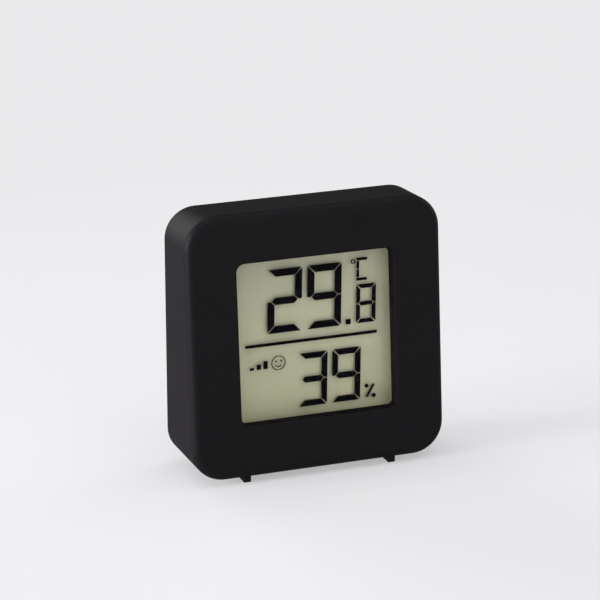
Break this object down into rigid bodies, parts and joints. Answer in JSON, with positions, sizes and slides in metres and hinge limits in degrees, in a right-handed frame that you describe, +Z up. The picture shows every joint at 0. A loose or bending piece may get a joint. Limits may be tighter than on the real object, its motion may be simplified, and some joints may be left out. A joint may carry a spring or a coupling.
{
  "type": "temperature and humidity sensor",
  "caption": "Leaning square desk thermo-hygrometer with a recessed liquid-crystal display, skid feet, a hinged battery door, a unit button and a keyhole for a wall screw.",
  "frame": {"origin": "on the table, under the middle of the case, at the underside of the skid rails", "axes": "+Z up, +Y towards the back, away from the display; +X to the right as the display is read"},
  "size_m": [0.06, 0.02, 0.0611],
  "materials": {
    "case_plastic": "fine moulded texture, black",
    "button_plastic": "smooth satin, black",
    "clear_lens": "clear polished acrylic",
    "display_glass": "clear polished",
    "polariser_film": "neutral grey-green film",
    "reflector_film": "satin grey-green reflector",
    "dark_segments": "navy black",
    "seal_resin": "cured resin",
    "foam": "black closed-cell foam",
    "frame_plastic": "natural white",
    "contact_rubber": "layered silicone",
    "board_laminate": "green solder mask",
    "chip_resin": "black epoxy drop",
    "tin_can": "tinned",
    "chip_ceramic": "tan, tinned ends",
    "sensor_ceramic": "white, uncoated",
    "bead_resin": "dipped resin",
    "switch_plastic": "black",
    "plunger_plastic": "tan",
    "screw_steel": "zinc plated",
    "cell_can": "plain lacquered sleeve",
    "contact_metal": "nickel plated",
    "red_insulation": "red",
    "black_insulation": "black"
  },
  "bodies": {
    "case": {"front_case": "case_plastic", "lens_tape": "foam", "display_lens": "clear_lens", "display_gasket": "foam", "front_polariser": "polariser_film", "front_glass": "display_glass", "lcd_segments": "dark_segments", "glass_seal": "seal_resin", "rear_glass": "display_glass", "reflector": "reflector_film", "display_frame": "frame_plastic", "zebra_strip": "contact_rubber", "main_board": "board_laminate", "board_screws": "screw_steel", "chip_blob": "chip_resin", "crystal": "tin_can", "board_parts": "chip_ceramic", "humidity_sensor": "sensor_ceramic", "thermistor": "bead_resin", "tact_switch": "switch_plastic", "rear_cover": "case_plastic", "case_screws": "screw_steel", "aaa_cell": "cell_can", "positive_contact": "contact_metal", "negative_contact": "contact_metal", "contact_spring": "contact_metal", "positive_lead": "red_insulation", "negative_lead": "black_insulation"},
    "door": {"battery_door": "case_plastic"},
    "button": {"unit_button": "button_plastic", "switch_plunger": "plunger_plastic"}
  },
  "joints": [
    {"name": "door_hinge", "type": "hinge", "parent": "case", "child": "door", "pos_m": [0, 0.009, 0.00708], "axis": [-1, 0, 0], "range_deg": [0, 95]},
    {"name": "button_press", "type": "slide", "parent": "case", "child": "button", "axis": [0, -1, 0], "range_m": [0, 0.0006], "stiffness_N_per_m": 1000}
  ]
}
